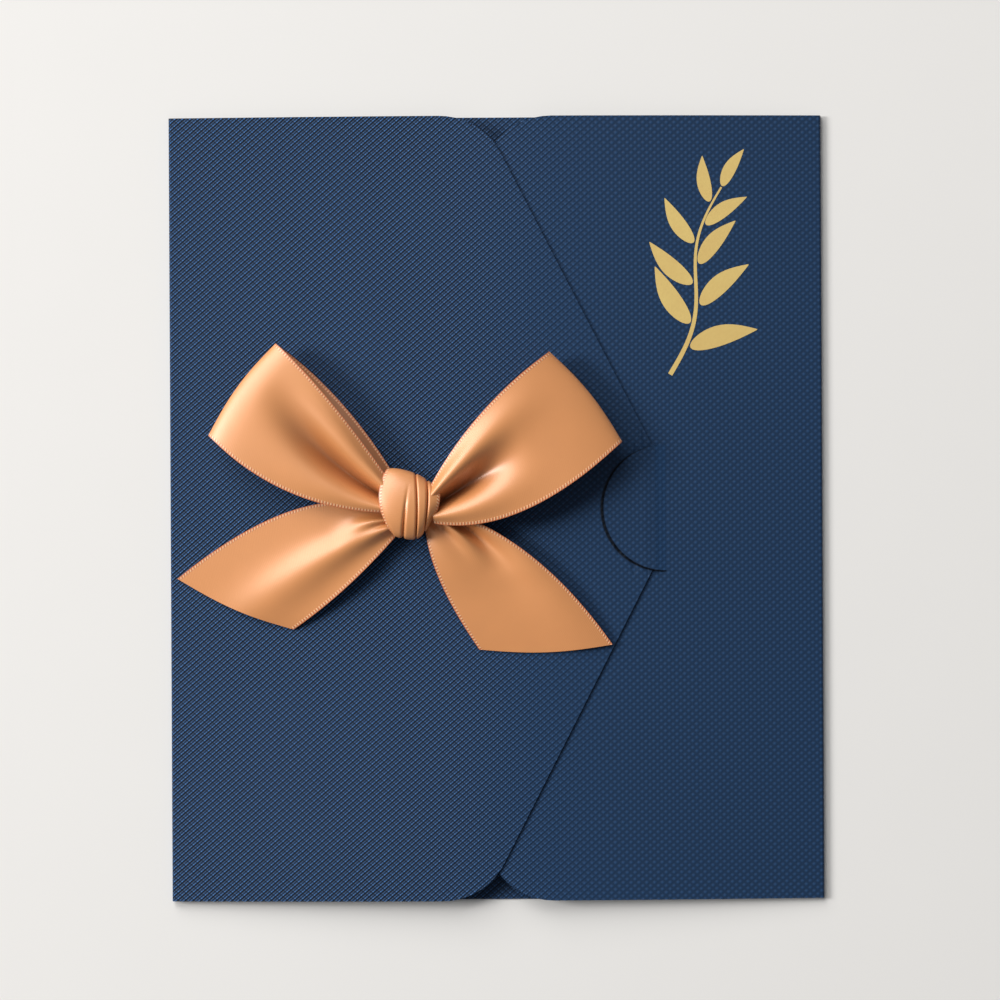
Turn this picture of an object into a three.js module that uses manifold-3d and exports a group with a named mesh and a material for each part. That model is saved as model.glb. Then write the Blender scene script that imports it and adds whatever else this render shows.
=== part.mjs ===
// Invitation card: a gatefold cover of stiff embossed board, folded from one sheet and closed by a
// nose tucked under a half-round tongue, with a leaf inside and a tied satin ribbon bow on its front.
// Millimetres. The closed card lies on its back: X runs across it, Y up it, Z out of its front.
// The origin is under the middle of the card.

import * as THREE from "three";
import { mergeVertices } from "three/addons/utils/BufferGeometryUtils.js";
import Module from "manifold-3d";

// Cover board
const cardWidth = 150;
const cardHeight = 180;
const boardThickness = 0.35;
const bendRadius = 0.35; // of the middle of the board, at each of the two turns of a fold

// Leaf inside the cover
const leafWidth = 137;
const leafHeight = 164;
const leafThickness = 0.3;

// Closed layers
const pocketRoom = 0.35; // between the leaf and the lower flap, at the fold
const layerGap = 0.1; // between layers that press on each other
const springRise = 2.5; // how far the closed flaps arch up between the folds

// Outline of a flap, the same for both
const flapReach = 118; // from the fold edge to the point where the slanted edges would meet
const slantAngle = THREE.MathUtils.degToRad(27.1); // of a slanted edge, off the card's upright
const shoulderRadius = 16;
const noseRadius = 12;

// Tuck lock
const tongueRadius = 14.6;
const noseTuck = 4.1; // how far the slanted edges' meeting point lies past the tongue's root
const slitWidth = 0.2; // at the tongue's free end, closing to nothing at the root

// Bow
const bowFromLeft = 55.3; // middle of the knot
const bowAboveMiddle = 1.2;
const ribbonWidth = 25;
const ribbonThickness = 0.3;
const knotWidth = 13.4;
const knotLength = 16.4;
const knotHeight = 8;
const foldHeight = 4; // of the deepest fold that runs out of the knot
const loopDepth = 6.4; // from the middle of a loop to its front or back layer, near its end
const loopMouth = 1.1; // the same where the layers enter the knot
const tailDrop = 2.4; // from the middle of the knot to a tail as it leaves the knot
const endBulge = 1.2; // of a loop's fold and of a tail's cut, off a straight line
const ribbonRest = 0.2; // between the ribbon and the card where it lies on it

// Glue dot
const dotRadius = 5;
const dotThickness = 0.5;
const dotGap = 0.1; // to the card below and to the knot above

// Fineness
const bendSteps = 3;
const arcSteps = 9;
const panelStep = 6; // longest stretch between two lines of points across a flap
const lengthSteps = 14; // along a tail, and along each layer of a loop
const widthSteps = 14;
const knotSteps = 40; // across the knot
const knotTurns = 32; // round it
const finest = 0.01; // detail of the bow below this is smoothed away

const turned = (share, from, to) => from + (to - from) * share;
const smooth = (share) => THREE.MathUtils.smoothstep(share, 0, 1);
const evenly = (from, to, steps) => Array.from({ length: steps + 1 }, (_, i) => turned(i / steps, from, to));

// Manifold solids, for joining pieces that cross
const wasm = await Module();
wasm.setup();

function toSolid(geometry) {
  const bare = geometry.clone();
  bare.deleteAttribute("normal");
  bare.deleteAttribute("uv");
  const merged = mergeVertices(bare, 1e-4);
  return new wasm.Manifold(new wasm.Mesh({
    numProp: 3,
    vertProperties: new Float32Array(merged.attributes.position.array),
    triVerts: new Uint32Array(merged.index.array),
  }));
}

function toGeometry(solid) {
  const mesh = solid.getMesh();
  const geometry = new THREE.BufferGeometry();
  geometry.setAttribute("position", new THREE.BufferAttribute(new Float32Array(mesh.vertProperties), 3));
  geometry.setIndex(new THREE.BufferAttribute(new Uint32Array(mesh.triVerts), 1));
  geometry.computeVertexNormals();
  return geometry;
}

// A thin sheet, drawn flat in (u, v) as patches of cells and then given its thickness and its place
class Sheet {
  constructor() {
    this.points = [];
    this.numbers = new Map();
    this.triangles = [];
  }

  point(u, v) {
    const key = `${u.toFixed(4)} ${v.toFixed(4)}`;
    if (!this.numbers.has(key)) {
      this.numbers.set(key, this.points.length);
      this.points.push([u, v]);
    }
    return this.numbers.get(key);
  }

  triangle(a, b, c) {
    if (a !== b && b !== c && c !== a) this.triangles.push([a, b, c]);
  }

  // Cells between two edges, low(u) and high(u), cut at the given u and at shares of the way across
  patch(stations, low, high, shares) {
    const lines = stations.map((u) => shares.map((share) => this.point(u, turned(share, low(u), high(u)))));
    for (let i = 1; i < lines.length; i++) {
      for (let j = 1; j < shares.length; j++) {
        this.triangle(lines[i - 1][j - 1], lines[i][j - 1], lines[i][j]);
        this.triangle(lines[i - 1][j - 1], lines[i][j], lines[i - 1][j]);
      }
    }
  }

  // Both faces and a wall along every open edge; place(u, v, side) gives the point on that face
  solid(place) {
    const count = this.points.length;
    const positions = [1, -1].flatMap((side) => this.points.flatMap(([u, v]) => place(u, v, side)));
    const index = [];
    const open = new Map();
    for (const corners of this.triangles) {
      const [a, b, c] = corners;
      index.push(a, b, c, a + count, c + count, b + count);
      for (const [from, to] of [[a, b], [b, c], [c, a]]) {
        if (!open.delete(`${to} ${from}`)) open.set(`${from} ${to}`, [from, to]);
      }
    }
    for (const [from, to] of open.values()) {
      index.push(from, from + count, to + count, from, to + count, to);
    }
    const geometry = new THREE.BufferGeometry();
    geometry.setAttribute("position", new THREE.Float32BufferAttribute(positions, 3));
    geometry.setIndex(index);
    geometry.computeVertexNormals();
    return geometry;
  }
}

// Heights of the closed layers, to their undersides, at the folds
const leafZ = boardThickness;
const lowerFlapZ = leafZ + leafThickness + pocketRoom;
const layerStep = boardThickness + layerGap;
const upperFlapZ = lowerFlapZ + layerStep;

// The flat of the back panel ends where the folds start to turn
const flatHalf = cardWidth / 2 - boardThickness / 2 - bendRadius;
const arch = (x) => springRise * Math.cos((Math.PI / 2) * (x / flatHalf));

// A flap's outline: half its height at a distance from its fold edge
const halfHeight = cardHeight / 2;
const slant = Math.tan(slantAngle);
const cornerReach = flapReach - halfHeight * slant;
const shoulderStart = cornerReach - shoulderRadius * Math.tan((Math.PI / 2 - slantAngle) / 2);
const shoulderEnd = shoulderStart + shoulderRadius * Math.cos(slantAngle);
const noseCentre = flapReach - noseRadius / Math.cos(slantAngle);
const noseStart = noseCentre + noseRadius * Math.cos(slantAngle);

function flapHalf(reach) {
  if (reach <= shoulderStart) return halfHeight;
  if (reach <= shoulderEnd) {
    return halfHeight - shoulderRadius + Math.sqrt(shoulderRadius ** 2 - (reach - shoulderStart) ** 2);
  }
  if (reach <= noseStart) return (flapReach - reach) / slant;
  return Math.sqrt(Math.max(0, noseRadius ** 2 - (reach - noseCentre) ** 2));
}

// Tongue: its root is an upright line on the lower flap, and its free end points at the upper flap
const rootX = flapReach - noseTuck - cardWidth / 2;
const slitHalf = (x) => Math.sqrt(Math.max(0, tongueRadius ** 2 - (rootX - x) ** 2));
const tongueReach = tongueRadius - slitWidth;
const tongueHalf = (x) => tongueRadius * Math.sqrt(Math.max(0, 1 - ((rootX - x) / tongueReach) ** 2));

// Where the nose's edges cross the slit, measured from the root
const steepness = 1 / slant ** 2;
const rootPart = steepness * noseTuck;
const square = rootPart ** 2 - (1 + steepness) * (rootPart * noseTuck - tongueRadius ** 2);
const crossing = (Math.sqrt(square) - rootPart) / (1 + steepness);
const tongueBend = 1.25 * crossing;
const noseBend = 0.9 * (tongueRadius - flapHalf(flapReach - noseTuck));

// The tongue climbs over the nose, and the nose dips through the slit to pass under the root
function tongueLift(x) {
  const share = Math.min(1, Math.max(0, (rootX - x) / tongueBend));
  return 2 * layerStep * (1 - (1 - share) ** 2);
}

function noseDip(x, y) {
  const inside = tongueRadius - Math.hypot(Math.min(x, rootX) - rootX, y);
  return 2 * layerStep * smooth(inside / noseBend);
}

const upperFlapTop = (x) => upperFlapZ + boardThickness + arch(x);

// A fold: out along the back panel, up its spine and back in along the flap
const turnLength = (Math.PI / 2) * bendRadius;
const foldLength = (rise) => 2 * turnLength + rise - 2 * bendRadius;

function foldPoint(along, rise) {
  const spine = rise - 2 * bendRadius;
  const turn = THREE.MathUtils.clamp(along, 0, turnLength)
    + THREE.MathUtils.clamp(along - turnLength - spine, 0, turnLength);
  const angle = turn / bendRadius;
  const climbed = THREE.MathUtils.clamp(along - turnLength, 0, spine);
  return { out: bendRadius * Math.sin(angle), up: climbed + bendRadius * (1 - Math.cos(angle)), angle };
}

// The cover: u runs along the unfolded sheet, from the left flap over the back panel to the right flap
function coverCard() {
  const onTongue = (x, y) => Math.abs(y) < (slitHalf(x) + tongueHalf(x)) / 2;
  const sides = {
    left: { hand: -1, rise: upperFlapZ, detail: (x, y) => -noseDip(x, y) },
    right: { hand: 1, rise: lowerFlapZ, detail: (x, y) => (onTongue(x, y) ? tongueLift(x) : 0) },
  };
  const foldStations = (rise) => {
    const length = foldLength(rise);
    const lower = evenly(0, turnLength, bendSteps);
    const upper = evenly(length - turnLength, length, bendSteps);
    return [...lower, ...upper];
  };
  // u of a point on a flap, from its distance to the card's edge at that flap's fold
  const edgeToFlat = cardWidth / 2 - flatHalf;
  const flapU = (side, reach) => side.hand * (flatHalf + foldLength(side.rise) + reach - edgeToFlat);
  const reachOf = (side, u) => side.hand * u - flatHalf - foldLength(side.rise) + edgeToFlat;

  // Lines across the whole height, with one at each end of the tongue's root
  const rootShare = tongueRadius / halfHeight;
  const outerShares = [0, 0.3, 0.65, 1];
  const upperLines = outerShares.map((share) => turned(share, rootShare, 1));
  const lines = [...upperLines.map((line) => -line).reverse(), 0, ...upperLines];
  const heightShares = lines.map((line) => (line + 1) / 2);

  const sheet = new Sheet();
  const top = () => halfHeight;
  const bottom = () => -halfHeight;
  sheet.patch([-flatHalf, 0, flatHalf], bottom, top, heightShares);
  for (const side of Object.values(sides)) {
    const fold = foldStations(side.rise).map((along) => side.hand * (flatHalf + along));
    sheet.patch(side.hand > 0 ? fold : fold.reverse(), bottom, top, heightShares);
  }

  // Distances from the fold edge at which a flap's outline needs a line of points
  const shoulder = evenly(Math.PI / 2, slantAngle, arcSteps)
    .map((angle) => shoulderStart + shoulderRadius * Math.cos(angle));
  const nose = evenly(slantAngle, 0, arcSteps).map((angle) => noseCentre + noseRadius * Math.cos(angle));
  const plain = (from, to) => evenly(from, to, Math.max(1, Math.ceil((to - from) / panelStep)));
  const unique = (list) => [...new Set(list.map((value) => Number(value.toFixed(4))))].sort((a, b) => a - b);
  const straight = [...plain(edgeToFlat, shoulderStart), ...plain(shoulderEnd, noseStart)];
  const outline = unique([...straight, ...shoulder, ...nose]);
  const slitArc = evenly(0, Math.PI / 2, arcSteps);

  // Left flap, with closer lines where its nose dips
  const { left, right } = sides;
  const leftHalf = (u) => flapHalf(reachOf(left, u));
  const dipStart = flapReach - noseTuck - tongueRadius;
  const leftReach = unique([...outline, ...evenly(dipStart, noseStart, arcSteps)]);
  const leftFlap = leftReach.map((reach) => flapU(left, reach)).reverse();
  sheet.patch(leftFlap, (u) => -leftHalf(u), leftHalf, heightShares);

  // Right flap: above and below the slit, the tongue inside it, and the plain part beyond the tip of the slit
  const reachAt = (x) => cardWidth / 2 - x;
  const rightHalf = (u) => flapHalf(reachOf(right, u));
  const xOf = (u) => cardWidth / 2 - reachOf(right, u);
  const slitReach = slitArc.map((angle) => reachAt(rootX - tongueRadius * Math.sin(angle)));
  const beyond = outline.filter((reach) => reach > reachAt(rootX - tongueRadius));
  const bandReach = unique([...slitReach, ...beyond]);
  const band = bandReach.map((reach) => flapU(right, reach));
  const slitEdge = (u) => (xOf(u) > rootX - tongueRadius ? slitHalf(xOf(u)) : 0);
  sheet.patch(band, slitEdge, rightHalf, outerShares);
  const lowerShares = outerShares.map((share) => 1 - share).reverse();
  sheet.patch(band, (u) => -rightHalf(u), (u) => -slitEdge(u), lowerShares);
  const tongue = slitArc.map((angle) => flapU(right, reachAt(rootX - tongueReach * Math.sin(angle))));
  sheet.patch(tongue, (u) => -tongueHalf(xOf(u)), (u) => tongueHalf(xOf(u)), [0, 0.5, 1]);
  const root = plain(edgeToFlat, reachAt(rootX)).map((reach) => flapU(right, reach));
  sheet.patch(root, bottom, top, heightShares);

  // The sheet is drawn as seen from the card's inside
  return sheet.solid((u, v, side) => {
    const half = -side * (boardThickness / 2);
    const flank = u < 0 ? left : right;
    const along = Math.abs(u) - flatHalf;
    if (along <= 0) return [u, v, boardThickness / 2 - half];
    if (along < foldLength(flank.rise)) {
      const { out, up, angle } = foldPoint(along, flank.rise);
      const x = flatHalf + out + half * Math.sin(angle);
      return [flank.hand * x, v, boardThickness / 2 + up - half * Math.cos(angle)];
    }
    const x = flank.hand * (cardWidth / 2 - reachOf(flank, u));
    const middle = flank.rise + boardThickness / 2 + arch(x) + flank.detail(x, v);
    return [x, v, middle + half];
  });
}

function innerLeaf() {
  return new THREE.BoxGeometry(leafWidth, leafHeight, leafThickness);
}

// Bow, in plan from the middle of its knot
const bowX = bowFromLeft - cardWidth / 2;

function glueDot() {
  const geometry = new THREE.CylinderGeometry(dotRadius, dotRadius, dotThickness, 32).rotateX(Math.PI / 2);
  const position = geometry.attributes.position;
  for (let i = 0; i < position.count; i++) {
    const lift = upperFlapTop(bowX + position.getX(i)) - upperFlapTop(bowX);
    position.setZ(i, position.getZ(i) + lift);
  }
  return geometry;
}

// Places in the bow's plan are in ribbon widths from the middle of the knot
const selvedge = (start, bend, end) => new THREE.QuadraticBezierCurve(
  ...[start, bend, end].map(([x, y]) => new THREE.Vector2(x * ribbonWidth, y * ribbonWidth)));

const fullUntil = 0.35; // share of a fold's way out over which it keeps its whole height

// A ridge or valley that runs out of the knot. It lies at a share of the way across the ribbon, and from its
// far end, at a share of the run's reach, it narrows and deepens towards the knot
const fold = (atKnot, atEnd, until, halfAtKnot, halfAtEnd, rise) => (reach, share) => {
  const out = Math.min(1, reach / until);
  const offset = (share - turned(out, atKnot, atEnd)) / turned(out, halfAtKnot, halfAtEnd);
  const faded = smooth((out - fullUntil) / (1 - fullUntil));
  return foldHeight * rise * (1 - faded) * Math.exp(-(offset ** 2));
};
const relief = (folds, reach, share) => folds.reduce((sum, rise) => sum + rise(reach, share), 0);

// Each run of ribbon has two selvedges, which leave the knot and end at the loop's fold or the tail's cut
const loopRuns = [
  {
    front: [
      selvedge([-0.1, -0.08], [-1.112, -0.1], [-1.836, 0.628]),
      selvedge([-0.1, 0.08], [-0.728, 1.028], [-1.216, 1.464]),
    ],
    back: [
      selvedge([-0.1, -0.08], [-0.96, 0.08], [-1.836, 0.628]),
      selvedge([-0.1, 0.18], [-0.568, 0.992], [-1.216, 1.464]),
    ],
    folds: [
      fold(0.42, 0.64, 0.92, 0.09, 0.22, -1),
      fold(0.72, 0.9, 0.85, 0.14, 0.2, 0.4),
      fold(0.12, 0.25, 0.85, 0.12, 0.25, 0.35),
    ],
  },
  {
    front: [
      selvedge([0.12, -0.16], [0.94, -0.376], [1.932, 0.552]),
      selvedge([0.12, 0.02], [0.504, 0.812], [1.272, 1.376]),
    ],
    back: [
      selvedge([0.12, -0.16], [0.92, -0.24], [1.932, 0.552]),
      selvedge([0.12, 0.02], [0.6, 0.72], [1.272, 1.376]),
    ],
    folds: [
      fold(0.52, 0.52, 0.7, 0.09, 0.2, -1.05),
      fold(0.78, 0.78, 0.95, 0.14, 0.18, 0.5),
      fold(0.2, 0.22, 0.75, 0.12, 0.18, 0.3),
    ],
  },
];
const tailRuns = [
  {
    edges: [
      selvedge([-0.1, -0.26], [-0.572, -0.808], [-1.08, -1.148]),
      selvedge([-0.12, -0.1], [-0.904, 0.312], [-2.148, -0.68]),
    ],
    folds: [fold(0.66, 0.55, 0.45, 0.06, 0.14, 0.4), fold(0.4, 0.35, 1.4, 0.12, 0.26, 0.45)],
    lift: 2.2,
  },
  {
    edges: [
      selvedge([0.14, -0.24], [0.18, -0.692], [0.624, -1.34]),
      selvedge([0.12, 0], [1.1, -0.224], [1.844, -1.3]),
    ],
    folds: [
      fold(0.7, 0.55, 0.55, 0.07, 0.14, 0.5),
      fold(0.86, 0.74, 0.62, 0.09, 0.16, -0.6),
      fold(0.95, 0.85, 1.3, 0.1, 0.28, 0.5),
      fold(0.25, 0.3, 0.8, 0.15, 0.3, 0.15),
    ],
    lift: 1.3,
  },
];

const knotMiddle = dotThickness + 2 * dotGap + knotHeight / 2; // above the flap
const halfRibbon = ribbonThickness / 2;
const resting = ribbonRest + halfRibbon;

// A point on a ribbon's middle surface: in plan between its selvedges, at a height above the flap under it
function ribbonPoint([lowEdge, highEdge], reach, share, height) {
  const low = lowEdge.getPoint(reach);
  const high = highEdge.getPoint(reach);
  const end = highEdge.v2.clone().sub(lowEdge.v2);
  const square = new THREE.Vector2(end.y, -end.x).normalize();
  const outward = Math.sign(square.dot(highEdge.v2.clone().add(lowEdge.v2)));
  const bulge = outward * endBulge * Math.sin(Math.PI * share) * reach ** 5;
  const place = low.lerp(high, share).addScaledVector(square, bulge);
  return new THREE.Vector3(place.x, place.y, upperFlapTop(bowX + place.x) + Math.max(resting, height));
}

// A run with its thickness, laid off square to its middle surface
function ribbonRun(stations, surface) {
  const sheet = new Sheet();
  sheet.patch(stations, () => 0, () => 1, evenly(0, 1, widthSteps));
  const nudge = 1e-3;
  return sheet.solid((u, v, side) => {
    const along = surface(u + nudge, v).sub(surface(u - nudge, v));
    const across = surface(u, v + nudge).sub(surface(u, v - nudge));
    const normal = along.cross(across).normalize();
    return surface(u, v).addScaledVector(normal, side * halfRibbon).toArray();
  });
}

// A loop leaves the knot along its front layer, turns over at the fold and comes back along its back layer.
// The back layer takes the folds less deeply
const backFolds = 0.35;
const backFrom = 0.3; // share of the turn at which the front layer starts to become the back one
const backBy = 0.7;
const insideKnot = 0.02; // share of a run that is left out in the middle of the knot

function loopRun({ front, back, folds }) {
  const surface = (turn, share) => {
    const reach = Math.sin(Math.PI * turn);
    const face = Math.cos(Math.PI * turn);
    const behind = smooth((turn - backFrom) / (backBy - backFrom));
    const depth = turned(reach ** 2, loopMouth, loopDepth);
    const height = knotMiddle + depth * face + turned(behind, 1, backFolds) * relief(folds, reach, share);
    return ribbonPoint(front, reach, share, height).lerp(ribbonPoint(back, reach, share, height), behind);
  };
  return ribbonRun(evenly(insideKnot, 1 - insideKnot, 2 * lengthSteps), surface);
}

// A tail drops from the knot, arches a little and ends on the card
const dropUntil = 0.7;

function tailRun({ edges, folds, lift }) {
  const surface = (reach, share) => {
    const drop = (knotMiddle - tailDrop - resting) * (1 - smooth(reach / dropUntil));
    const arched = 4 * lift * Math.max(0, reach * (1 - reach));
    return ribbonPoint(edges, reach, share, resting + drop + arched + relief(folds, reach, share));
  };
  return ribbonRun(evenly(insideKnot, 1, lengthSteps), surface);
}

// Knot: the three values of a line are at its top, in its middle and at its bottom, in knot widths
const through = ([top, middle, bottom], up) => (
  middle + ((top - bottom) / 2) * up + ((top + bottom) / 2 - middle) * up ** 2);
const knotSides = [[-0.39, -0.515, -0.33], [0.49, 0.507, 0.42]];
const knotEnds = [ // share of the way across, and the top and bottom there in knot lengths
  [0, 0.53, -0.43], [0.12, 0.51, -0.475], [0.45, 0.44, -0.495], [0.6, 0.4, -0.49], [0.78, 0.33, -0.4],
  [0.9, 0.29, -0.28], [1, 0.27, -0.22],
];
const knotCreases = [ // a line, a half width in knot widths, and the depth along the line in knot heights
  { line: [0.015, -0.067, -0.12], half: 0.03, depth: [0, 0.04, 0.19] },
  { line: [0.097, 0.127, 0.097], half: 0.022, depth: [0.15, 0.14, 0.22] },
  { line: [0.29, 0.3, 0.24], half: 0.022, depth: [0.16, 0.17, 0.16] },
];

// The gathered ribbon wraps round the knot: up runs from its bottom to its top, and out from back to front
function knotPoint(share, up, out) {
  const next = Math.max(1, knotEnds.findIndex(([place]) => place >= share - 1e-6));
  const [from, to] = [knotEnds[next - 1], knotEnds[next]];
  const along = (share - from[0]) / (to[0] - from[0]);
  const top = turned(along, from[1], to[1]) * knotLength;
  const bottom = turned(along, from[2], to[2]) * knotLength;
  const x = turned(share, through(knotSides[0], up), through(knotSides[1], up));
  const crease = knotCreases.reduce((sum, { line, half, depth }) => (
    sum + through(depth, up) * Math.exp(-(((x - through(line, up)) / half) ** 2))), 0) * knotHeight;
  const rounding = 0.06 * knotHeight * Math.abs(2 * share - 1) ** 6;
  const y = (top + bottom) / 2 + ((top - bottom) / 2 - 0.4 * crease - rounding) * up;
  const crown = 1 - 0.1 * (2 * share - 1) ** 2;
  const z = knotMiddle + ((knotHeight / 2) * crown - crease - rounding) * out;
  return [x * knotWidth, y, z + upperFlapTop(bowX)];
}

function knot() {
  const profile = evenly(1, 0, knotSteps).map((share) => new THREE.Vector2(1, share));
  profile.unshift(new THREE.Vector2(0, 1));
  profile.push(new THREE.Vector2(0, 0));
  const geometry = new THREE.LatheGeometry(profile, knotTurns);
  const position = geometry.attributes.position;
  for (let i = 0; i < position.count; i++) {
    position.setXYZ(i, ...knotPoint(position.getY(i), position.getX(i), position.getZ(i)));
  }
  return geometry;
}

// The runs join where they enter the knot. Air shut in between the gathered layers is filled
function ribbonBow() {
  const runs = [...loopRuns.map(loopRun), ...tailRuns.map(tailRun)];
  const tied = runs.reduce((solid, run) => solid.add(toSolid(run)), toSolid(knot()));
  const [outside] = tied.decompose().sort((a, b) => b.volume() - a.volume());
  return toGeometry(outside.simplify(finest));
}

// Assembly
const navyBoard = new THREE.MeshStandardMaterial({ color: 0x2c4566, roughness: 0.62, metalness: 0 });
const ivoryPaper = new THREE.MeshStandardMaterial({ color: 0xf1ebdd, roughness: 0.85, metalness: 0 });
const copperSatin = new THREE.MeshStandardMaterial({ color: 0xd4965f, roughness: 0.38, metalness: 0 });
const clearGlue = new THREE.MeshStandardMaterial({ color: 0xd9d4c6, roughness: 0.3, metalness: 0 });

function piece(name, geometry, material, x = 0, y = 0, z = 0) {
  const mesh = new THREE.Mesh(geometry, material);
  mesh.name = name;
  mesh.position.set(x, y, z);
  return mesh;
}

const card = new THREE.Group();
const dotZ = upperFlapTop(bowX) + dotGap + dotThickness / 2;
card.add(
  piece("cover_card", coverCard(), navyBoard),
  piece("inner_sheet", innerLeaf(), ivoryPaper, 0, 0, leafZ + leafThickness / 2),
  piece("glue_dot", glueDot(), clearGlue, bowX, bowAboveMiddle, dotZ),
  piece("ribbon_bow", ribbonBow(), copperSatin, bowX, bowAboveMiddle, 0),
);

export default card;
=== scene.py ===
"""Invitation card: finishes, satin bow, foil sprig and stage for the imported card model.

Lengths are in metres, and +Z comes out of the card's front.
"""

from math import cos, pi, radians, sin

import bpy
import numpy as np
from bpy.props import FloatProperty, FloatVectorProperty, IntProperty, PointerProperty
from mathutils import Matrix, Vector
from mathutils.bvhtree import BVHTree


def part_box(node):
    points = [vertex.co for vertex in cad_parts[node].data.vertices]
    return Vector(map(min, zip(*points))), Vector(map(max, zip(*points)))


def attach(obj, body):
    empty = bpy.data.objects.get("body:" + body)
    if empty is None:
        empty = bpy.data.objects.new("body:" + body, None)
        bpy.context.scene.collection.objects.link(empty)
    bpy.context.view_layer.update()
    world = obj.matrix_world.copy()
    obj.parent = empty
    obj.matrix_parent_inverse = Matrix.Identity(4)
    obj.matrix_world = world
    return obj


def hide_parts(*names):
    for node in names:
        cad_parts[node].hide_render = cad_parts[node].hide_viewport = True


bl_info = {
    "name": "Invitation card",
    "version": (1, 0, 0),
    "blender": (4, 5, 0),
    "location": "3D View > Sidebar > Card",
    "description": "Dresses a gatefold invitation card with embossed board, a satin bow and a foil sprig",
    "category": "Object",
}

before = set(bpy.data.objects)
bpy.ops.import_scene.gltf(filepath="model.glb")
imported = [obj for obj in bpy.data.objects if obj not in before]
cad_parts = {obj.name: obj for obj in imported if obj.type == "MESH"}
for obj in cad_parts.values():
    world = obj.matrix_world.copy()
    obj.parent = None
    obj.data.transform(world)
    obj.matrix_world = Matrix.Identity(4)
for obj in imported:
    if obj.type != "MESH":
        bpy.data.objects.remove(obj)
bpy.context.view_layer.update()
MM = 0.001

# The bow is drawn in plan from the middle of its knot, which sits on the glue dot
DOT_LOW, DOT_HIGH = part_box("glue_dot")
KNOT_X = (DOT_LOW.x + DOT_HIGH.x) / 2
KNOT_Y = (DOT_LOW.y + DOT_HIGH.y) / 2

# The round tongue of the right flap springs from the line at SLIT_X and reaches to the left. Its bend ends at
# BEND_X
SLIT_X = 38.9 * MM
BEND_X = 36.6 * MM
TONGUE_RADIUS = 14.5 * MM
# The tongue and its slit lie above this height, and the back panel and the leaf lie below it
FRONT_HEIGHT = 1.5 * MM


class CardSettings(bpy.types.PropertyGroup):
    board_color: FloatVectorProperty(
        name="Board colour", description="Colour of the dyed board", subtype="COLOR",
        default=(0.0115, 0.0345, 0.084), min=0, max=1)
    rib_period: FloatProperty(
        name="Rib period", description="Distance from one embossed rib to the next",
        default=1.17 * MM, min=0.3 * MM, max=5 * MM, unit="LENGTH")
    rib_angle: FloatProperty(
        name="Rib angle", description="Angle of each set of ribs to the card's width",
        default=radians(40.7), min=0, max=radians(90), subtype="ANGLE")
    rib_depth: FloatProperty(
        name="Rib depth", description="Depth of the embossed lattice",
        default=0.06 * MM, min=0, max=0.5 * MM, unit="LENGTH")
    leaf_color: FloatVectorProperty(
        name="Leaf colour", description="Colour of the leaf inside the card", subtype="COLOR",
        default=(0.88, 0.83, 0.73), min=0, max=1)


class RibbonSettings(bpy.types.PropertyGroup):
    satin_color: FloatVectorProperty(
        name="Satin colour", description="Colour of the ribbon's face", subtype="COLOR",
        default=(0.74, 0.30, 0.098), min=0, max=1)
    selvedge_color: FloatVectorProperty(
        name="Selvedge colour", description="Colour of the woven edge", subtype="COLOR",
        default=(0.60, 0.17, 0.05), min=0, max=1)
    stitch_color: FloatVectorProperty(
        name="Stitch colour", description="Colour of the stitches along the woven edge", subtype="COLOR",
        default=(0.86, 0.50, 0.26), min=0, max=1)
    # Painted shade: the colour laid deep in the loops' folds and on their back layers
    gather_shade_color: FloatVectorProperty(
        name="Gather colour", description="Colour deep in the gathers of the loops", subtype="COLOR",
        default=(0.26, 0.072, 0.016), min=0, max=1)
    ribbon_width: FloatProperty(
        name="Ribbon width", description="Width of the ribbon before it is tied",
        default=25 * MM, min=3 * MM, max=80 * MM, unit="LENGTH")
    ribbon_thickness: FloatProperty(
        name="Ribbon thickness", description="Thickness of the woven ribbon",
        default=0.25 * MM, min=0.1 * MM, max=1 * MM, unit="LENGTH")
    fold_height: FloatProperty(
        name="Fold height", description="Height of the deepest fold that runs out of the knot",
        default=4 * MM, min=0, max=10 * MM, unit="LENGTH")
    loop_depth: FloatProperty(
        name="Loop depth", description="Height from the middle of a loop to its front layer, near its end",
        default=6.4 * MM, min=1 * MM, max=20 * MM, unit="LENGTH")
    thread_step: FloatProperty(
        name="Thread step", description="Distance between the stitches along a selvedge",
        default=0.72 * MM, min=0.2 * MM, max=3 * MM, unit="LENGTH")


class FoilSettings(bpy.types.PropertyGroup):
    foil_color: FloatVectorProperty(
        name="Foil colour", description="Colour of the stamped foil", subtype="COLOR",
        default=(1.0, 0.68, 0.24), min=0, max=1)
    sprig_height: FloatProperty(
        name="Sprig height", description="Height of the stamped sprig",
        default=43 * MM, min=10 * MM, max=120 * MM, unit="LENGTH")
    leaf_pairs: IntProperty(
        name="Leaf pairs", description="Pairs of leaves along the sprig's stem", default=4, min=2, max=12)


class StageSettings(bpy.types.PropertyGroup):
    floor_color: FloatVectorProperty(
        name="Floor colour", description="Colour of the plain floor", subtype="COLOR",
        default=(0.80, 0.79, 0.77), min=0, max=1)
    key_power: FloatProperty(
        name="Key power", description="Power of the large soft lamp above the card",
        default=65.0, min=0, max=400, unit="POWER")
    side_power: FloatProperty(
        name="Side power", description="Power of the lamp at the left, which draws the gloss on the satin",
        default=46.0, min=0, max=400, unit="POWER")
    sky_strength: FloatProperty(
        name="Sky strength", description="Strength of the even light all round", default=0.18, min=0, max=5)


# Shader maths

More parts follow.
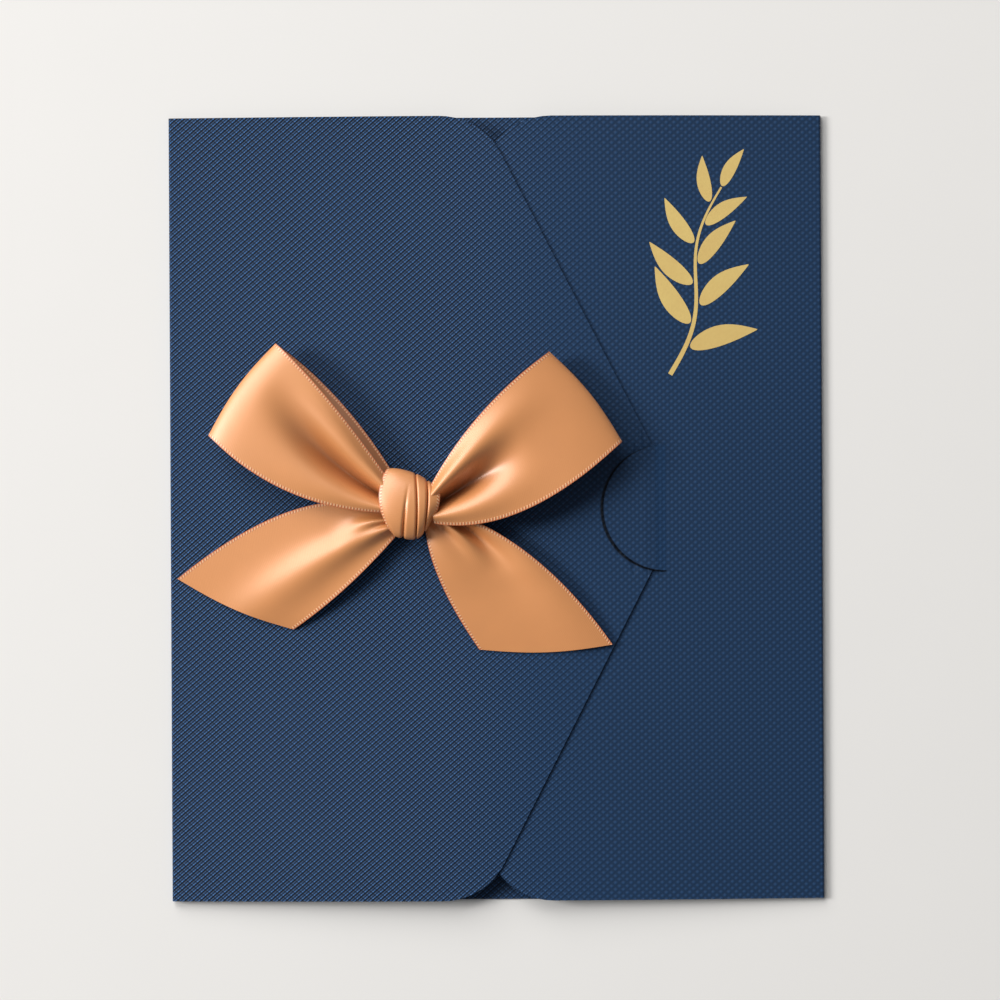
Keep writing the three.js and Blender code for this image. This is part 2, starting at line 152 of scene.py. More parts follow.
class Wire:
    """A shader value that adds its Math nodes when Python operators act on it"""

    def __init__(self, shader, socket):
        self.shader = shader
        self.socket = socket

    def maths(self, operation, *values):
        return self.shader.add("ShaderNodeMath", {"operation": operation}, dict(enumerate((self, *values))))

    def __add__(self, other):
        return self.maths("ADD", other)

    def __sub__(self, other):
        return self.maths("SUBTRACT", other)

    def __rsub__(self, other):
        return (self * -1) + other

    def __mul__(self, other):
        return self.maths("MULTIPLY", other)

    def __pow__(self, other):
        return self.maths("POWER", other)

    __radd__ = __add__

    def wave(self):
        """A sine of the value in turns, from 0 to 1"""
        return (self * (2 * pi)).maths("SINE") * 0.5 + 0.5

    def above(self, edge, width):
        """0 below the edge and 1 above it, with a soft step"""
        settings = {"interpolation_type": "SMOOTHSTEP"}
        limits = {"From Min": edge - width / 2, "From Max": edge + width / 2}
        return self.shader.add("ShaderNodeMapRange", settings, {"Value": self, **limits})


class Shader:
    """A material being made, with its nodes and its Principled shader"""

    def __init__(self, name, constants):
        self.material = bpy.data.materials.new(name)
        self.material.use_nodes = True
        self.tree = self.material.node_tree
        self.surface = self.tree.nodes["Principled BSDF"]
        for socket, value in constants.items():
            self.surface.inputs[socket].default_value = value

    def add(self, kind, settings=None, sockets=None, output=0):
        node = self.tree.nodes.new(kind)
        for key, value in (settings or {}).items():
            setattr(node, key, value)
        for key, value in (sockets or {}).items():
            self.feed(node.inputs[key], value)
        return Wire(self, node.outputs[output])

    def feed(self, socket, value):
        if isinstance(value, Wire):
            self.tree.links.new(value.socket, socket)
        else:
            socket.default_value = value

    def place(self, kind="Object"):
        """The surface's own coordinates, as a vector and as three values"""
        vector = self.add("ShaderNodeTexCoord", output=kind)
        parts = self.add("ShaderNodeSeparateXYZ", sockets={0: vector})
        outputs = parts.socket.node.outputs
        return vector, [Wire(self, outputs[axis]) for axis in "XYZ"]

    def noise(self, vector, scale, detail=2.0):
        """Noise with about this many features in a metre"""
        return self.add("ShaderNodeTexNoise", sockets={"Vector": vector, "Scale": scale, "Detail": detail})

    def mix(self, share, low, high):
        """Colour low where share is 0 and high where it is 1"""
        node = self.tree.nodes.new("ShaderNodeMix")
        node.data_type = "RGBA"
        for socket, value in ((node.inputs[0], share), (node.inputs[6], low), (node.inputs[7], high)):
            self.feed(socket, value)
        return Wire(self, node.outputs[2])

    def finish(self, color, roughness, height=None, depth=None):
        self.feed(self.surface.inputs["Base Color"], color)
        self.feed(self.surface.inputs["Roughness"], roughness)
        if height is not None:
            bump = self.add("ShaderNodeBump", sockets={"Height": height, "Distance": depth, "Strength": 1.0})
            self.feed(self.surface.inputs["Normal"], bump)
        return self.material


def opaque(color):
    return (*color, 1.0)


def tint(color, factor):
    return tuple(min(1.0, channel * factor) for channel in color)


# Board colour as shares of its own: painted shade between the ribs, painted highlight on their crests, painted
# shade in the slit
VALLEY_SHADE_TINT = 0.1
CREST_HIGHLIGHT_TINT = 6.6
SLIT_TINT = 0.12


def embossed_board(card):
    """Dyed board with two crossing sets of pressed ribs: dashes at its left and dimples at its right"""
    shader = Shader("embossed_navy_board", {"Specular IOR Level": 0.2})
    vector, (x, y, z) = shader.place()
    across = sin(card.rib_angle) / card.rib_period
    up = cos(card.rib_angle) / card.rib_period
    rising = x * -across + y * up
    falling = x * across + y * up
    fibre = shader.noise(vector, 3500.0)
    cloud = shader.noise(vector, 26.0)
    at_right = x.above(2 * MM, 60 * MM)
    at_left = 1 - at_right
    strokes = rising.wave() * 0.4 + (rising * 2).wave() * 0.75
    breaks = falling.wave() * 0.3 + (falling * 2).wave() * 0.4 + 0.3
    dashes = strokes * breaks
    dimples = rising.wave() * falling.wave()
    lattice = dashes * at_left + dimples * at_right
    height = dashes * at_left * 3.6 + dimples * at_right * 1.2 + fibre * 0.35
    front = z.above(FRONT_HEIGHT, 0.3 * MM)

    # The bend where the tongue springs from its flap catches a little more light
    bend = x.above(BEND_X, 1.4 * MM) * (1 - x.above(SLIT_X, 0.3 * MM))
    root = bend * (1 - y.maths("ABSOLUTE").above(TONGUE_RADIUS, 0.2 * MM)) * front
    # Painted highlight on the rib crests and painted shade between them, strong at the left, towards the light,
    # and faint at the right
    painted_light = dashes ** 2 * 1.05 * at_left + (dimples * 0.15 + 0.12) * at_right + root * 0.1
    rib_shade, rib_highlight = (opaque(tint(card.board_color, factor)) for factor in (VALLEY_SHADE_TINT, CREST_HIGHLIGHT_TINT))
    color = shader.mix(cloud * 0.2, shader.mix(painted_light, rib_shade, rib_highlight), opaque(card.board_color))

    # Shade in the slit round the tongue, widest at the tongue's tip
    out = SLIT_X - x
    reach = (out ** 2 + y ** 2) ** 0.5
    outside = reach.above(TONGUE_RADIUS - 0.1 * MM, 0.3 * MM)
    inside = 1 - (reach - out * 0.04 + y * 0.015).above(TONGUE_RADIUS, 0.4 * MM)
    slit = outside * inside * out.above(0, 1 * MM) * front
    shaded = shader.mix(slit, color, opaque(tint(card.board_color, SLIT_TINT)))
    return shader.finish(shaded, 0.55 - lattice * 0.1, height, card.rib_depth)


def laid_paper(card):
    """Uncoated ivory paper with a faint fibre"""
    shader = Shader("ivory_paper", {"Specular IOR Level": 0.3})
    vector, _ = shader.place()
    fibre = shader.noise(vector, 1800.0, 4.0)
    cloud = shader.noise(vector, 60.0, 3.0)
    color = shader.mix(cloud, opaque(tint(card.leaf_color, 0.97)), opaque(card.leaf_color))
    return shader.finish(color, fibre * 0.1 + 0.78, fibre, 0.02 * MM)


def clear_glue():
    """A dried adhesive dot"""
    shader = Shader("clear_glue", {"IOR": 1.45, "Coat Weight": 0.4, "Coat Roughness": 0.1})
    vector, _ = shader.place()
    bubbles = shader.noise(vector, 900.0, 3.0)
    color = shader.mix(bubbles, (0.62, 0.58, 0.48, 1), (0.78, 0.74, 0.64, 1))
    return shader.finish(color, bubbles * 0.2 + 0.2, bubbles, 0.05 * MM)


WEFT_STEP = 0.42 * MM
GATHER_SHADE_SHARE = 0.75
# Where the selvedge and its plain border start, from 0 in the middle of the ribbon to 1 at its edge
SELVEDGE_START = 0.94
BORDER_START = 0.984


def satin(ribbon):
    """Satin weave: fine threads across the ribbon, a stitched selvedge along each side and painted shade in the
    loops' folds
    """
    shader = Shader("copper_satin", {
        "Specular IOR Level": 0.5, "Metallic": 0.1, "Coat Weight": 0.9, "Coat Roughness": 0.4, "Coat IOR": 1.7})
    vector, _ = shader.place()
    _, (across, along, _) = shader.place("UV")
    edge = (across - 0.5).maths("ABSOLUTE") * 2
    selvedge = edge.above(SELVEDGE_START, 0.012)
    border = edge.above(BORDER_START, 0.01)
    stitch = (along * (ribbon.ribbon_width / ribbon.thread_step)).wave().above(0.5, 0.5)
    weft = (along * (ribbon.ribbon_width / WEFT_STEP)).wave()
    cloud = shader.noise(vector, 120.0, 3.0)
    face = shader.mix(cloud, opaque(tint(ribbon.satin_color, 0.94)), opaque(tint(ribbon.satin_color, 1.04)))
    # Painted shade: the satin darkens towards this colour deep in the loops' folds and on their back layers
    gather_shade = shader.add("ShaderNodeAttribute", {"attribute_name": "gather_shade"}, output=2)
    face = shader.mix(gather_shade * GATHER_SHADE_SHARE, face, opaque(ribbon.gather_shade_color))
    stitched = shader.mix(stitch, opaque(ribbon.selvedge_color), opaque(ribbon.stitch_color))
    woven = shader.mix(selvedge, face, stitched)
    color = shader.mix(border, woven, opaque(ribbon.selvedge_color))
    height = weft * 0.5 + selvedge * stitch * 1.6 + cloud * 0.2
    return shader.finish(color, 0.43 + selvedge * 0.15 + weft * 0.08, height, 0.03 * MM)


def stamped_foil(foil):
    """Gold foil, slightly grained"""
    shader = Shader("gold_foil", {"Metallic": 0.4, "Specular IOR Level": 0.5})
    vector, _ = shader.place()
    grain = shader.noise(vector, 1500.0, 3.0)
    cloud = shader.noise(vector, 150.0, 2.0)
    color = shader.mix(cloud, opaque(tint(foil.foil_color, 0.9)), opaque(tint(foil.foil_color, 1.12)))
    return shader.finish(color, grain * 0.15 + 0.3, grain, 0.02 * MM)


def plain_floor(stage):
    """A matt floor of one colour"""
    shader = Shader("plain_floor", {"Specular IOR Level": 0.0})
    vector, _ = shader.place()
    grain = shader.noise(vector, 40.0, 3.0)
    color = shader.mix(grain, opaque(tint(stage.floor_color, 0.985)), opaque(stage.floor_color))
    return shader.finish(color, 0.8)


# Mesh helpers

def add_active(operator, **values):
    bpy.ops.object.select_all(action="DESELECT")
    operator(**values)
    return bpy.context.active_object


def own_points(piece):
    points = np.empty(len(piece.data.vertices) * 3)
    piece.data.vertices.foreach_get("co", points)
    return points.reshape(-1, 3)


def set_points(piece, points):
    piece.data.vertices.foreach_set("co", np.asarray(points, float).ravel())
    piece.data.update()


def in_edit_mode(piece, *steps):
    bpy.context.view_layer.objects.active = piece
    bpy.ops.object.mode_set(mode="EDIT")
    bpy.ops.mesh.select_all(action="SELECT")
    for operator, values in steps:
        operator(**values)
    bpy.ops.object.mode_set(mode="OBJECT")


def apply_modifier(piece, kind, **values):
    modifier = piece.modifiers.new(kind.title(), kind)
    for key, value in values.items():
        setattr(modifier, key, value)
    bpy.context.view_layer.objects.active = piece
    bpy.ops.object.modifier_apply(modifier=modifier.name)


def join_as(name, parts):
    bpy.ops.object.select_all(action="DESELECT")
    for part in parts:
        part.select_set(True)
    bpy.context.view_layer.objects.active = parts[0]
    bpy.ops.object.join()
    piece = bpy.context.active_object
    piece.name = name
    bpy.ops.object.transform_apply(location=True, rotation=True, scale=True)
    return piece


def dress(piece, material):
    piece.data.materials.clear()
    piece.data.materials.append(material)


class CardFace:
    """Heights of the closed card's front, found by dropping a ray onto the cover"""

    RAY_START = 100 * MM

    def __init__(self):
        bpy.context.view_layer.update()
        self.tree = BVHTree.FromObject(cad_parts["cover_card"], bpy.context.evaluated_depsgraph_get())

    def height(self, x, y):
        hit = self.tree.ray_cast(Vector((x, y, self.RAY_START)), Vector((0, 0, -1)))[0]
        return hit.z if hit else 0.0

    def heights(self, places):
        return np.array([self.height(x, y) for x, y in places])


# Ribbon shapes, in millimetres from the middle of the knot until they are set on the card

def between(low, high, share):
    return low + (high - low) * share


def soft_step(value, start=0, end=1):
    """0 up to the start and 1 from the end, with a smooth rise between them"""
    share = np.clip((value - start) / (end - start), 0, 1)
    return share * share * (3 - 2 * share)


def curve(points, share):
    """A quadratic curve through its first and last points"""
    first, bend, last = (np.array(point, float) for point in points)
    share = share[:, None]
    return (1 - share) ** 2 * first + 2 * share * (1 - share) * bend + share ** 2 * last


# Each run has a lower and an upper selvedge, in ribbon widths, from the knot to the loop's fold or the tail's
# cut. A fold is a ridge or valley that runs out of the knot: its place across the ribbon at the knot and at its
# far end, the reach of that end, its half widths at the two, and its height as a share of the deepest
LOOPS = {
    "left": {
        "front": (
            ((-0.1, -0.08), (-1.112, -0.1), (-1.836, 0.628)),
            ((-0.1, 0.08), (-0.728, 1.028), (-1.216, 1.464)),
        ),
        "back": (
            ((-0.1, -0.08), (-0.96, 0.08), (-1.836, 0.628)),
            ((-0.1, 0.18), (-0.568, 0.992), (-1.216, 1.464)),
        ),
        "folds": (
            (0.42, 0.64, 0.92, 0.09, 0.18, -1),
            (0.72, 0.9, 0.85, 0.14, 0.2, 0.4),
            (0.12, 0.25, 0.85, 0.12, 0.25, 0.35),
        ),
    },
    "right": {
        "front": (
            ((0.12, -0.16), (0.94, -0.376), (1.932, 0.552)),
            ((0.12, 0.02), (0.504, 0.812), (1.272, 1.376)),
        ),
        "back": (
            ((0.12, -0.16), (0.92, -0.24), (1.932, 0.552)),
            ((0.12, 0.02), (0.6, 0.72), (1.272, 1.376)),
        ),
        "folds": (
            (0.52, 0.52, 0.7, 0.09, 0.17, -1.05),
            (0.78, 0.78, 0.95, 0.14, 0.18, 0.5),
            (0.2, 0.22, 0.75, 0.12, 0.18, 0.3),
        ),
    },
}
TAILS = {
    "left": {
        "edges": (
            ((-0.1, -0.26), (-0.572, -0.808), (-1.08, -1.148)),
            ((-0.12, -0.1), (-0.904, 0.312), (-2.148, -0.68)),
        ),
        "folds": (
            (0.66, 0.55, 0.45, 0.06, 0.14, 0.4),
            (0.4, 0.35, 1.4, 0.12, 0.26, 0.45),
        ),
        "lift": 2.2,
    },
    "right": {
        "edges": (
            ((0.14, -0.24), (0.18, -0.692), (0.624, -1.34)),
            ((0.12, 0), (1.1, -0.224), (1.844, -1.3)),
        ),
        "folds": (
            (0.7, 0.55, 0.55, 0.07, 0.14, 0.5),
            (0.86, 0.74, 0.62, 0.09, 0.16, -0.6),
            (0.95, 0.85, 1.3, 0.1, 0.28, 0.5),
            (0.25, 0.3, 0.8, 0.15, 0.3, 0.15),
        ),
        "lift": 1.3,
    },
}
# A run starts a little way out of the knot's middle, and a fold sinks from this share of its reach to its end
RUN_START = 0.02
FOLD_FADE = 0.35
# Least height of the ribbon over the card, bulge of a run's far end and half the gap of a loop at the knot
REST = 0.35
END_BULGE = 1.2
LOOP_MOUTH = 1.1
# A tail leaves the knot below its middle, and comes down to the card at this share of its length
TAIL_DROP = 2.4
TAIL_LANDS = 0.7
# The back layer of a loop follows the folds less, lies lower at the knot and gets painted shade. A turn goes
# from 0 where the front layer starts to 1 where the back layer ends
BACK_TURN = (0.3, 0.7)
SHADE_TURN = (0.6, 0.85)
BACK_FOLDS = 0.6
BACK_DROP = 1.9
BACK_SHADE = 0.8
KNOT_WIDTH = 13.4
KNOT_LENGTH = 16.4
KNOT_HEIGHT = 8.0
KNOT_BASE = 0.7
KNOT_MIDDLE = KNOT_BASE + KNOT_HEIGHT / 2
# Points along and across each grid of the bow
LOOP_GRID = (128, 64)
TAIL_GRID = (80, 64)
KNOT_GRID = (128, 110)
SMOOTH_ANGLE = radians(50)


def plan_point(pair, reach, share, width):
    """A place between two selvedges, whose far end bulges out a little"""
    low, high = (curve(edge, reach) * width for edge in pair)
    low_end, high_end = (np.array(edge[2], float) for edge in pair)
    square = np.array([high_end[1] - low_end[1], low_end[0] - high_end[0]])
    square *= np.sign(square @ (low_end + high_end)) / np.linalg.norm(square)
    bulge = END_BULGE * np.sin(pi * share) * reach ** 5
    return between(low, high, share[:, None]) + bulge[:, None] * square


def relief(folds, reach, share, height):
    """Height of the folds at a place, from how far out of the knot and how far across the ribbon it lies"""
    total = 0
    for at_knot, at_end, until, narrow, wide, rise in folds:
        out = np.minimum(1, reach / until)
        offset = (share - between(at_knot, at_end, out)) / between(narrow, wide, out)
        total = total + height * rise * (1 - soft_step(out, FOLD_FADE)) * np.exp(-offset ** 2)
    return total


def loop_surface(loop, ribbon):
    """Out along the front layer, over the fold and back along the back layer"""
    width = ribbon.ribbon_width / MM
    sunken = [fold for fold in loop["folds"] if fold[-1] < 0]

    def surface(along, across):
        turn = between(RUN_START, 1 - RUN_START, along)
        reach = np.sin(pi * turn)
        behind = soft_step(turn, *BACK_TURN)
        front = plan_point(loop["front"], reach, across, width)
        back = plan_point(loop["back"], reach, across, width)
        place = between(front, back, behind[:, None])
        depth = between(LOOP_MOUTH, ribbon.loop_depth / MM, reach ** 2)
        folds = relief(loop["folds"], reach, across, ribbon.fold_height / MM)
        height = KNOT_MIDDLE + depth * np.cos(pi * turn) + between(1, BACK_FOLDS, behind) * folds
        height -= BACK_DROP * behind * (1 - reach ** 2)
        # Painted shade: the depth in the sunken folds, and a share on the back layer, darkens the satin there
        valley_shade = relief(sunken, reach, across, -1)
        gathered = np.maximum(valley_shade, BACK_SHADE * soft_step(turn, *SHADE_TURN))
        return np.column_stack([place, np.maximum(height, REST), gathered])

    return surface


def tail_surface(tail, ribbon):
    """Down from the knot and along the card to the slanted cut"""

    def surface(along, across):
        reach = between(RUN_START, 1, along)
        place = plan_point(tail["edges"], reach, across, ribbon.ribbon_width / MM)
        drop = (KNOT_MIDDLE - TAIL_DROP - REST) * (1 - soft_step(reach, 0, TAIL_LANDS))
        arched = 4 * tail["lift"] * reach * (1 - reach)
        height = REST + drop + arched + relief(tail["folds"], reach, across, ribbon.fold_height / MM)
        return np.column_stack([place, np.maximum(height, REST), 0 * reach])

    return surface


# Knot, in knot widths, lengths and heights. The three values of a line are at its top, middle and bottom
KNOT_SIDES = ((-0.39, -0.515, -0.33), (0.49, 0.507, 0.42))
KNOT_ACROSS = (0, 0.12, 0.45, 0.6, 0.78, 0.9, 1)
KNOT_TOP = (0.53, 0.51, 0.44, 0.4, 0.33, 0.29, 0.27)
KNOT_BOTTOM = (-0.43, -0.475, -0.495, -0.49, -0.4, -0.28, -0.22)
# A crease of the knot: its line, its half width and its depth along the line
KNOT_CREASES = (
    ((0.015, -0.067, -0.12), 0.026, (0, 0.04, 0.19)),
    ((0.097, 0.127, 0.097), 0.017, (0.15, 0.14, 0.22)),
    ((0.29, 0.3, 0.24), 0.018, (0.16, 0.17, 0.16)),
)
# How far a crease draws in the knot's ends, how far its edges turn down, and how far its crown falls to them
CREASE_PULL = 0.4
KNOT_ROUNDING = 0.11
KNOT_CROWN = 0.1


def through(values, up):
    """A parabola that takes the three values at 1, 0 and -1"""
    top, middle, bottom = values
    return middle + (top - bottom) / 2 * up + ((top + bottom) / 2 - middle) * up ** 2


def knot_surface(along, across):
    """The gathered ribbon wrapped over the knot, with deep creases down its right half"""
    angle = 2 * pi * along
    up = np.cos(angle)
    x = between(through(KNOT_SIDES[0], up), through(KNOT_SIDES[1], up), across)
    crease = 0
    for line, half, depth in KNOT_CREASES:
        crease = crease + KNOT_HEIGHT * through(depth, up) * np.exp(-((x - through(line, up)) / half) ** 2)
    rounding = KNOT_ROUNDING * KNOT_HEIGHT * np.abs(2 * across - 1) ** 3
    crown = 1 - KNOT_CROWN * (2 * across - 1) ** 2
    top = np.interp(across, KNOT_ACROSS, KNOT_TOP) * KNOT_LENGTH
    bottom = np.interp(across, KNOT_ACROSS, KNOT_BOTTOM) * KNOT_LENGTH
    y = (top + bottom) / 2 + ((top - bottom) / 2 - CREASE_PULL * crease - rounding) * up
    height = KNOT_MIDDLE + (KNOT_HEIGHT / 2 * crown - crease - rounding) * np.sin(angle)
    return np.column_stack([x * KNOT_WIDTH, y, height, 0 * up])


def map_ribbon(run, share, points):
    """Give a run its UVs in ribbon widths, x across the ribbon and y along it, and return its length"""
    width = bpy.context.scene.ribbon.ribbon_width
    order = np.lexsort((share[:, 1], share[:, 0]))
    columns = len(np.unique(share[:, 1].round(6)))
    grid = points[order].reshape(-1, columns, 3)
    steps = np.linalg.norm(np.diff(grid, axis=0), axis=2)
    lengths = np.vstack([np.zeros(columns), np.cumsum(steps, axis=0)])

    # Distances from the nearer selvedge, so that the stitches keep their size where the ribbon is gathered
    gaps = np.linalg.norm(np.diff(grid, axis=1), axis=2)
    from_low = np.hstack([np.zeros((len(grid), 1)), np.cumsum(gaps, axis=1)])
    from_high = from_low[:, -1:] - from_low
    sides = np.where(from_low < from_high, from_low / width, 1 - from_high / width)

    places = np.empty((len(points), 2))
    places[order] = np.column_stack([sides.ravel(), lengths.ravel() / width])
    layer = run.data.uv_layers.active
    for corner in run.data.loops:
        layer.data[corner.index].uv = places[corner.vertex_index]
    return float(lengths[-1].mean())


def ribbon_run(surface, grid, card_face, follow=True):
    """A flat grid laid on a surface, and its length along the ribbon.

    The surface gives each point's place and its share of painted shade, from 0 to 1, deepest in the loops'
    folds.
    """
    run = add_active(bpy.ops.mesh.primitive_grid_add, x_subdivisions=grid[0], y_subdivisions=grid[1], size=1)
    share = own_points(run)[:, :2] + 0.5
    places = surface(share[:, 0], share[:, 1])
    points = places[:, :3] * MM
    points[:, 0] += KNOT_X
    points[:, 1] += KNOT_Y
    if follow:
        points[:, 2] += card_face.heights(points[:, :2])
    else:
        points[:, 2] += card_face.height(KNOT_X, KNOT_Y)
    set_points(run, points)
    # Each point's share of painted shade, which the satin reads
    gather_shade = run.data.attributes.new(name="gather_shade", type="FLOAT", domain="POINT")
    gather_shade.data.foreach_set("value", places[:, 3])
    return run, map_ribbon(run, share, points)


class CARD_OT_finish_cover(bpy.types.Operator):
    """Give the folded cover its embossed navy board"""
    bl_idname = "card.finish_cover"
    bl_label = "Finish cover"

    def execute(self, context):
        dress(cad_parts["cover_card"], embossed_board(context.scene.card))
        return {"FINISHED"}


class CARD_OT_finish_inside(bpy.types.Operator):
    """Give the leaf its paper and the dot its glue"""
    bl_idname = "card.finish_inside"
    bl_label = "Finish leaf and glue"

    def execute(self, context):
        dress(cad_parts["inner_sheet"], laid_paper(context.scene.card))
        dress(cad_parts["glue_dot"], clear_glue())
        return {"FINISHED"}


class CARD_OT_tie_bow(bpy.types.Operator):
    """Tie the satin bow: two loops, two tails and the knot of one ribbon"""
    bl_idname = "card.tie_bow"
    bl_label = "Tie bow"

    def execute(self, context):
        ribbon = context.scene.ribbon
        card_face = CardFace()
        runs = [ribbon_run(loop_surface(loop, ribbon), LOOP_GRID, card_face) for loop in LOOPS.values()]
        runs += [ribbon_run(tail_surface(tail, ribbon), TAIL_GRID, card_face) for tail in TAILS.values()]
        knot, knot_round = ribbon_run(knot_surface, KNOT_GRID, card_face, follow=False)
        in_edit_mode(knot, (bpy.ops.mesh.remove_doubles, {"threshold": 1e-6}))
        bow = join_as("satin_bow", [run for run, _ in runs] + [knot])
        apply_modifier(bow, "SOLIDIFY", thickness=ribbon.ribbon_thickness, offset=0.0)
        bpy.ops.object.shade_smooth_by_angle(angle=SMOOTH_ANGLE)
        dress(bow, satin(ribbon))
        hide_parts("ribbon_bow")
        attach(bow, "root")
        return {"FINISHED"}


# Foil sprig, in millimetres. Its stem starts here, from the card's middle, and is drawn from its start
STEM_LOW = Vector((40.0, 30.5))
STEM_LEAN = 12
STEM_SWAY = 2.2
STEM_HALF_WIDTH = 0.55
STEM_TAPER = 0.6
FOIL_THICKNESS = 0.03
# Place of the lowest leaf on the stem and its size. The leaves' angles to the stem, in degrees, and their sizes
# change from the lowest to the topmost
LOWEST_LEAF = 0.14
LEAF_LENGTH = 17
LEAF_WIDTH = 5.4
LEAF_POINT = 0.75
LEAF_SWING = 0.16
LEAF_ANGLES = (52, 34)
LEAF_SIZES = (1, 0.58)
# A leaf starts this far from the middle of the stem
SIDE_CLEARANCE = 1.3
TIP_CLEARANCE = 0.3


def stem_point(share, height):
    """The stem rises in a gentle double bend"""
    return Vector((STEM_LEAN * share + STEM_SWAY * sin(2 * pi * share), height * share))


def stem_strip(height):
    """The stem, which tapers to its tip"""
    strip = add_active(bpy.ops.mesh.primitive_grid_add, x_subdivisions=60, y_subdivisions=1, size=1)
    share = own_points(strip)[:, :2] + 0.5
    points = []
    for along, side in share:
        here = stem_point(along, height)
        ahead = stem_point(along + 0.01, height) - stem_point(along - 0.01, height)
        square = Vector((-ahead.y, ahead.x)).normalized()
        half = STEM_HALF_WIDTH * (1 - STEM_TAPER * along)
        points.append((*(here + square * half * (2 * side - 1)) * MM, 0))
    set_points(strip, points)
    return strip


def leaf_blade(length, width):
    """A pointed leaf along +X, from a round disc drawn out to its tip"""
    blade = add_active(bpy.ops.mesh.primitive_circle_add, vertices=40, radius=1, fill_type="NGON")
    points = own_points(blade)
    share = (points[:, 0] + 1) / 2
    pointed = 1 - share ** 3 * LEAF_POINT
    swung = LEAF_SWING * np.sin(pi * share)
    shaped = np.column_stack([share * length, points[:, 1] * width / 2 * pointed + swung * width, 0 * share])
    set_points(blade, shaped * MM)
    return blade


class CARD_OT_stamp_foil(bpy.types.Operator):
    """Stamp a leafy sprig in gold foil on the right flap"""
    bl_idname = "card.stamp_foil"
    bl_label = "Stamp foil"

    def execute(self, context):
        foil = context.scene.foil
        height = foil.sprig_height / MM
        parts = [stem_strip(height)]
        count = 2 * foil.leaf_pairs
        for number in range(count + 1):
            share = between(LOWEST_LEAF, 1, number / count)
            if number == count:
                side, clear = 0, TIP_CLEARANCE
            else:
                side, clear = (1 if number % 2 else -1), SIDE_CLEARANCE
            here = stem_point(share, height)
            ahead = stem_point(min(1, share + 0.01), height) - stem_point(share - 0.02, height)
            heading = np.arctan2(ahead.y, ahead.x) + side * radians(between(*LEAF_ANGLES, share))
            size = between(*LEAF_SIZES, share)
            leaf = leaf_blade(LEAF_LENGTH * size, LEAF_WIDTH * size)
            leaf.rotation_euler.z = heading
            leaf.location = ((here.x + clear * cos(heading)) * MM, (here.y + clear * sin(heading)) * MM, 0)
            parts.append(leaf)
        sprig = join_as("foil_sprig", parts)
        cut = (bpy.ops.mesh.quads_convert_to_tris, {})
        refine = (bpy.ops.mesh.subdivide, {"number_cuts": 1})
        in_edit_mode(sprig, cut, refine)
        points = own_points(sprig)
        points[:, 0] += STEM_LOW.x * MM
        points[:, 1] += STEM_LOW.y * MM
        points[:, 2] = CardFace().heights(points[:, :2]) + FOIL_THICKNESS * MM
        set_points(sprig, points)
        apply_modifier(sprig, "SOLIDIFY", thickness=FOIL_THICKNESS * MM, offset=0.0)
        dress(sprig, stamped_foil(foil))
        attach(sprig, "root")
        return {"FINISHED"}


# Camera and light: the photograph looks square on at the card's front
PHOTO_WIDTH_MM = 230.0
CARD_FACE_MM = 1.5
LENS_MM = 110.0
SENSOR_MM = 36.0
CAMERA_ROLL = radians(-0.3)
VIEW_MIDDLE_MM = (0.8, 1.9)
BACKDROP_STRENGTH = 0.75
SKY_COLOR = (0.95, 0.97, 1.0, 1)
LAMP_COLOR = (1.0, 0.985, 0.97)
FLOOR_SIZE = 4
FLOOR_HEIGHT = -0.02 * MM
# Place and size of each lamp
KEY_LAMP = ((-1.2, 1.8, 1.6), 2.2)
SIDE_LAMP = ((-2.0, 0.3, 1.2), 0.7)


def area_lamp(name, place, size, power):
    """A square lamp that looks at the card's middle"""
    lamp = add_active(bpy.ops.object.light_add, type="AREA", location=place)
    lamp.name = name
    lamp.rotation_euler = (-Vector(place)).to_track_quat("-Z", "Y").to_euler()
    lamp.data.size = size
    lamp.data.energy = power
    lamp.data.color = LAMP_COLOR


def soft_sky(stage):
    """Even light all round, and a brighter backdrop where the camera sees it"""
    world = bpy.data.worlds.new("soft_sky")
    world.use_nodes = True
    tree = world.node_tree
    sky = tree.nodes["Background"]
    sky.inputs["Color"].default_value = SKY_COLOR
    light_path = tree.nodes.new("ShaderNodeLightPath")
    seen = tree.nodes.new("ShaderNodeMath")
    seen.operation = "MULTIPLY_ADD"
    seen.inputs[1].default_value = BACKDROP_STRENGTH - stage.sky_strength
    seen.inputs[2].default_value = stage.sky_strength
    tree.links.new(light_path.outputs["Is Camera Ray"], seen.inputs[0])
    tree.links.new(seen.outputs[0], sky.inputs["Strength"])
    return world


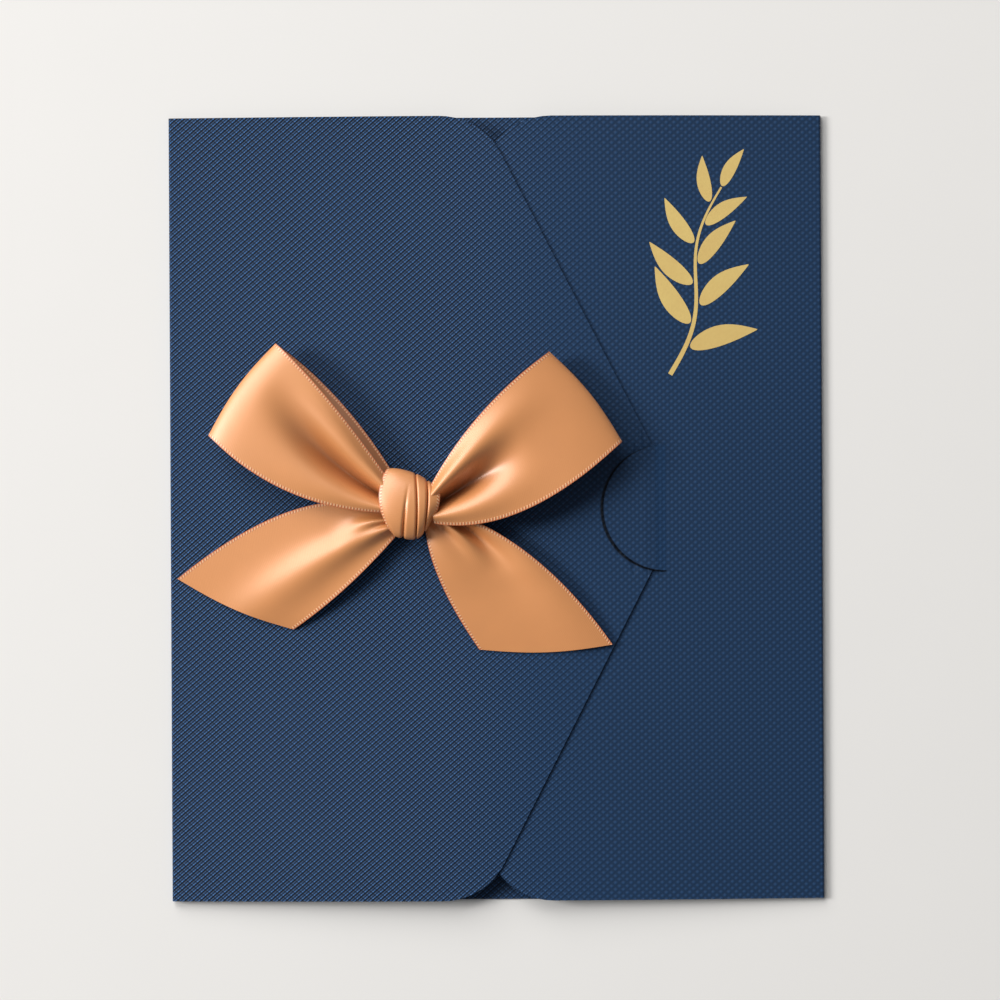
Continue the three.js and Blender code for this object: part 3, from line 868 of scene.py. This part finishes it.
class CARD_OT_set_stage(bpy.types.Operator):
    """Add the pale floor, the soft light and the camera"""
    bl_idname = "card.set_stage"
    bl_label = "Set stage"

    def execute(self, context):
        stage = context.scene.stage
        floor = add_active(bpy.ops.mesh.primitive_plane_add, size=FLOOR_SIZE, location=(0, 0, FLOOR_HEIGHT))
        floor.name = "floor"
        bpy.ops.object.transform_apply(location=True, rotation=True, scale=True)
        dress(floor, plain_floor(stage))

        area_lamp("key", *KEY_LAMP, stage.key_power)
        area_lamp("side", *SIDE_LAMP, stage.side_power)
        context.scene.world = soft_sky(stage)
        context.scene.view_settings.view_transform = "Standard"

        # At this distance the width of the photograph fills the sensor, at the height of the card's face
        distance = PHOTO_WIDTH_MM * LENS_MM / SENSOR_MM + CARD_FACE_MM
        place = (VIEW_MIDDLE_MM[0] * MM, VIEW_MIDDLE_MM[1] * MM, distance * MM)
        camera = add_active(bpy.ops.object.camera_add, location=place, rotation=(0, 0, CAMERA_ROLL))
        camera.data.lens = LENS_MM
        camera.data.sensor_width = SENSOR_MM
        context.scene.camera = camera
        return {"FINISHED"}


SETTINGS = {
    "card": CardSettings,
    "ribbon": RibbonSettings,
    "foil": FoilSettings,
    "stage": StageSettings,
}
STEPS = (
    CARD_OT_set_stage,
    CARD_OT_finish_cover,
    CARD_OT_finish_inside,
    CARD_OT_tie_bow,
    CARD_OT_stamp_foil,
)


class CARD_PT_panel(bpy.types.Panel):
    """The card's steps and settings"""
    bl_idname = "CARD_PT_panel"
    bl_label = "Invitation card"
    bl_space_type = "VIEW_3D"
    bl_region_type = "UI"
    bl_category = "Card"

    def draw(self, context):
        for step in STEPS:
            self.layout.operator(step.bl_idname)
        for name in SETTINGS:
            group = getattr(context.scene, name)
            for key in group.bl_rna.properties.keys():
                if key not in ("rna_type", "name"):
                    self.layout.prop(group, key)


def register():
    for kind in (*SETTINGS.values(), *STEPS, CARD_PT_panel):
        bpy.utils.register_class(kind)
    for name, kind in SETTINGS.items():
        setattr(bpy.types.Scene, name, PointerProperty(type=kind))


def unregister():
    for name in SETTINGS:
        delattr(bpy.types.Scene, name)
    for kind in reversed((*SETTINGS.values(), *STEPS, CARD_PT_panel)):
        bpy.utils.unregister_class(kind)


def main():
    register()
    bpy.ops.card.set_stage()
    bpy.ops.card.finish_cover()
    bpy.ops.card.finish_inside()
    bpy.ops.card.tie_bow()
    bpy.ops.card.stamp_foil()


if __name__ == "__main__":
    main()
